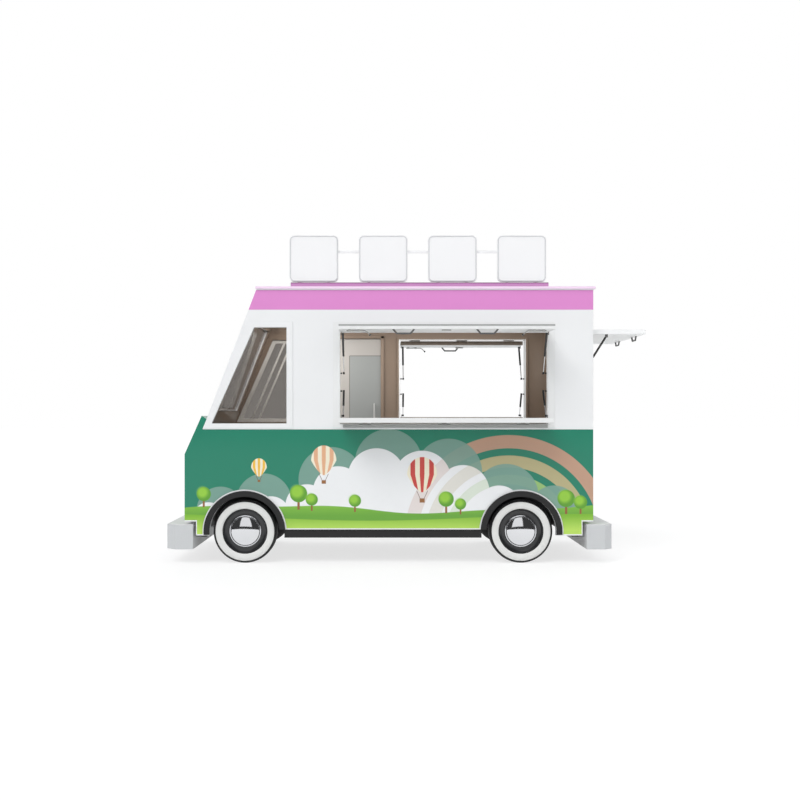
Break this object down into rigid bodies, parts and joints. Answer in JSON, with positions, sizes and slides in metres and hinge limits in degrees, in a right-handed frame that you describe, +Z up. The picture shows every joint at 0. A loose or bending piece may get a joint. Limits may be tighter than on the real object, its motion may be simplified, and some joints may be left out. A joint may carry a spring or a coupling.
{
  "type": "food truck",
  "caption": "Small box-bodied electric food truck with open serving flaps on gas struts, a sloping windscreen, whitewall wheels and a blank sign on its roof.",
  "frame": {"origin": "on the ground at the middle of the whole outline, with the flaps open", "axes": "-X is the front of the truck, +Y its right side, +Z up"},
  "size_m": [4.029, 2.53, 2.756],
  "materials": {
    "green_paint": "satin vehicle paint with a printed scene",
    "white_paint": "gloss vehicle paint",
    "pink_paint": "gloss vehicle paint",
    "grey_paint": "satin vehicle paint",
    "dark_steel": "matt underbody coat",
    "aluminium_trim": "powder coat",
    "steel": "brushed",
    "chrome": "polished",
    "tinted_glass": "tinted",
    "lamp_lens": "clear and red lenses",
    "black_plastic": "moulded",
    "grey_plastic": "moulded",
    "strut_black": "satin",
    "floor_deck": "tread plate",
    "seat_leather": "vinyl",
    "tyre": "rubber with a white side ring",
    "wheel_disc": "black rim with a chrome dome"
  },
  "bodies": {
    "body": {"left_lower_wall": "green_paint", "right_lower_wall": "green_paint", "nose_panel": "green_paint", "left_upper_wall": "white_paint", "right_upper_wall": "white_paint", "windscreen_frame": "white_paint", "cab_window_frames": "white_paint", "rear_wall": "white_paint", "cab_glass": "tinted_glass", "lamps": "lamp_lens", "power_inlet": "grey_plastic", "roof_band": "pink_paint", "roof": "white_paint", "roof_sign": "white_paint", "chassis_frame": "dark_steel", "bumpers": "grey_paint", "floor": "floor_deck", "wheel_wells": "black_plastic", "wheel_arch_trims": "black_plastic", "side_skirts": "dark_steel", "battery_box": "dark_steel", "front_axle": "dark_steel", "rear_axle": "dark_steel", "dashboard": "grey_plastic", "driver_seat": "seat_leather", "steering_wheel": "black_plastic", "worktops": "steel", "left_window_frame": "aluminium_trim", "right_window_frame": "aluminium_trim", "rear_window_frame": "aluminium_trim"},
    "left_knuckle_body": {"left_knuckle": "dark_steel"},
    "right_knuckle_body": {"right_knuckle": "dark_steel"},
    "front_left_wheel": {"front_left_tyre": "tyre", "front_left_disc": "wheel_disc"},
    "front_right_wheel": {"front_right_tyre": "tyre", "front_right_disc": "wheel_disc"},
    "rear_left_wheel": {"rear_left_tyre": "tyre", "rear_left_disc": "wheel_disc"},
    "rear_right_wheel": {"rear_right_tyre": "tyre", "rear_right_disc": "wheel_disc"},
    "left_upper_flap_body": {"left_upper_flap": "white_paint"},
    "left_upper_strut_barrels_body": {"left_upper_strut_barrels": "strut_black"},
    "left_upper_strut_rods_body": {"left_upper_strut_rods": "chrome"},
    "left_lower_flap_body": {"left_lower_flap": "white_paint"},
    "left_lower_strut_rods_body": {"left_lower_strut_rods": "chrome"},
    "left_lower_strut_barrels_body": {"left_lower_strut_barrels": "strut_black"},
    "right_upper_flap_body": {"right_upper_flap": "white_paint"},
    "right_upper_strut_barrels_body": {"right_upper_strut_barrels": "strut_black"},
    "right_upper_strut_rods_body": {"right_upper_strut_rods": "chrome"},
    "right_lower_flap_body": {"right_lower_flap": "white_paint"},
    "right_lower_strut_rods_body": {"right_lower_strut_rods": "chrome"},
    "right_lower_strut_barrels_body": {"right_lower_strut_barrels": "strut_black"},
    "rear_flap_body": {"rear_flap": "white_paint"},
    "rear_strut_barrels_body": {"rear_strut_barrels": "strut_black"},
    "rear_strut_rods_body": {"rear_strut_rods": "chrome"},
    "entry_door_body": {"entry_door": "white_paint"}
  },
  "joints": [
    {"name": "left_steering", "type": "hinge", "parent": "body", "child": "left_knuckle_body", "pos_m": [-1.3595, -0.7, 0.265], "axis": [0, 0, 1], "range_deg": [-30, 30]},
    {"name": "right_steering", "type": "hinge", "parent": "body", "child": "right_knuckle_body", "pos_m": [-1.3595, 0.7, 0.265], "axis": [0, 0, 1], "range_deg": [-30, 30]},
    {"name": "front_left_wheel_spin", "type": "hinge", "parent": "left_knuckle_body", "child": "front_left_wheel", "pos_m": [-1.3595, -0.73, 0.265], "axis": [0, 1, 0], "continuous": true},
    {"name": "front_right_wheel_spin", "type": "hinge", "parent": "right_knuckle_body", "child": "front_right_wheel", "pos_m": [-1.3595, 0.73, 0.265], "axis": [0, 1, 0], "continuous": true},
    {"name": "rear_left_wheel_spin", "type": "hinge", "parent": "body", "child": "rear_left_wheel", "pos_m": [0.9475, -0.73, 0.265], "axis": [0, 1, 0], "continuous": true},
    {"name": "rear_right_wheel_spin", "type": "hinge", "parent": "body", "child": "rear_right_wheel", "pos_m": [0.9475, 0.73, 0.265], "axis": [0, 1, 0], "continuous": true},
    {"name": "left_upper_flap_hinge", "type": "hinge", "parent": "body", "child": "left_upper_flap_body", "pos_m": [0.302, -0.835, 1.966], "axis": [1, 0, 0], "range_deg": [0, 90]},
    {"name": "left_upper_strut_pivot", "type": "hinge", "parent": "left_upper_flap_body", "child": "left_upper_strut_barrels_body", "pos_m": [0.302, -0.965, 1.904], "axis": [1, 0, 0], "range_deg": [-113.9, 0]},
    {"name": "left_upper_strut_slide", "type": "slide", "parent": "left_upper_strut_barrels_body", "child": "left_upper_strut_rods_body", "axis": [0, 0.5336, -0.8457], "range_m": [-0.15337, 0]},
    {"name": "left_lower_flap_hinge", "type": "hinge", "parent": "body", "child": "left_lower_flap_body", "pos_m": [0.302, -0.835, 1.168], "axis": [-1, 0, 0], "range_deg": [0, 90]},
    {"name": "left_lower_strut_pivot", "type": "hinge", "parent": "left_lower_flap_body", "child": "left_lower_strut_rods_body", "pos_m": [0.302, -0.915, 1.23], "axis": [-1, 0, 0], "range_deg": [-117.5, 0]},
    {"name": "left_lower_strut_slide", "type": "slide", "parent": "left_lower_strut_rods_body", "child": "left_lower_strut_barrels_body", "axis": [0, 0.5849, 0.8111], "range_m": [-0.08739, 0]},
    {"name": "right_upper_flap_hinge", "type": "hinge", "parent": "body", "child": "right_upper_flap_body", "pos_m": [0.5665, 0.835, 1.966], "axis": [-1, 0, 0], "range_deg": [0, 90]},
    {"name": "right_upper_strut_pivot", "type": "hinge", "parent": "right_upper_flap_body", "child": "right_upper_strut_barrels_body", "pos_m": [0.5665, 0.965, 1.904], "axis": [-1, 0, 0], "range_deg": [-113.9, 0]},
    {"name": "right_upper_strut_slide", "type": "slide", "parent": "right_upper_strut_barrels_body", "child": "right_upper_strut_rods_body", "axis": [0, -0.5336, -0.8457], "range_m": [-0.15337, 0]},
    {"name": "right_lower_flap_hinge", "type": "hinge", "parent": "body", "child": "right_lower_flap_body", "pos_m": [0.5665, 0.835, 1.168], "axis": [1, 0, 0], "range_deg": [0, 90]},
    {"name": "right_lower_strut_pivot", "type": "hinge", "parent": "right_lower_flap_body", "child": "right_lower_strut_rods_body", "pos_m": [0.5665, 0.915, 1.23], "axis": [1, 0, 0], "range_deg": [-117.5, 0]},
    {"name": "right_lower_strut_slide", "type": "slide", "parent": "right_lower_strut_rods_body", "child": "right_lower_strut_barrels_body", "axis": [0, -0.5849, 0.8111], "range_m": [-0.08739, 0]},
    {"name": "rear_flap_hinge", "type": "hinge", "parent": "body", "child": "rear_flap_body", "pos_m": [1.5565, 0, 1.966], "axis": [0, 1, 0], "range_deg": [0, 90]},
    {"name": "rear_strut_pivot", "type": "hinge", "parent": "rear_flap_body", "child": "rear_strut_barrels_body", "pos_m": [1.6865, 0, 1.904], "axis": [0, 1, 0], "range_deg": [-113.9, 0]},
    {"name": "rear_strut_slide", "type": "slide", "parent": "rear_strut_barrels_body", "child": "rear_strut_rods_body", "axis": [-0.5336, 0, -0.8457], "range_m": [-0.15337, 0]},
    {"name": "entry_door_hinge", "type": "hinge", "parent": "body", "child": "entry_door_body", "pos_m": [-0.8475, 0.835, 1.215], "axis": [0, 0, 1], "range_deg": [0, 100]}
  ],
  "couplings": [
    {"joint": "right_steering", "follows": "left_steering", "ratio": 1},
    {"joint": "left_upper_strut_pivot", "follows": "left_upper_flap_hinge", "ratio": -1.26},
    {"joint": "left_upper_strut_slide", "follows": "left_upper_flap_hinge", "m_per_rad": -0.097},
    {"joint": "left_lower_strut_pivot", "follows": "left_lower_flap_hinge", "ratio": -1.3},
    {"joint": "left_lower_strut_slide", "follows": "left_lower_flap_hinge", "m_per_rad": -0.055},
    {"joint": "right_upper_strut_pivot", "follows": "right_upper_flap_hinge", "ratio": -1.26},
    {"joint": "right_upper_strut_slide", "follows": "right_upper_flap_hinge", "m_per_rad": -0.097},
    {"joint": "right_lower_strut_pivot", "follows": "right_lower_flap_hinge", "ratio": -1.3},
    {"joint": "right_lower_strut_slide", "follows": "right_lower_flap_hinge", "m_per_rad": -0.055},
    {"joint": "rear_strut_pivot", "follows": "rear_flap_hinge", "ratio": -1.26},
    {"joint": "rear_strut_slide", "follows": "rear_flap_hinge", "m_per_rad": -0.097}
  ]
}
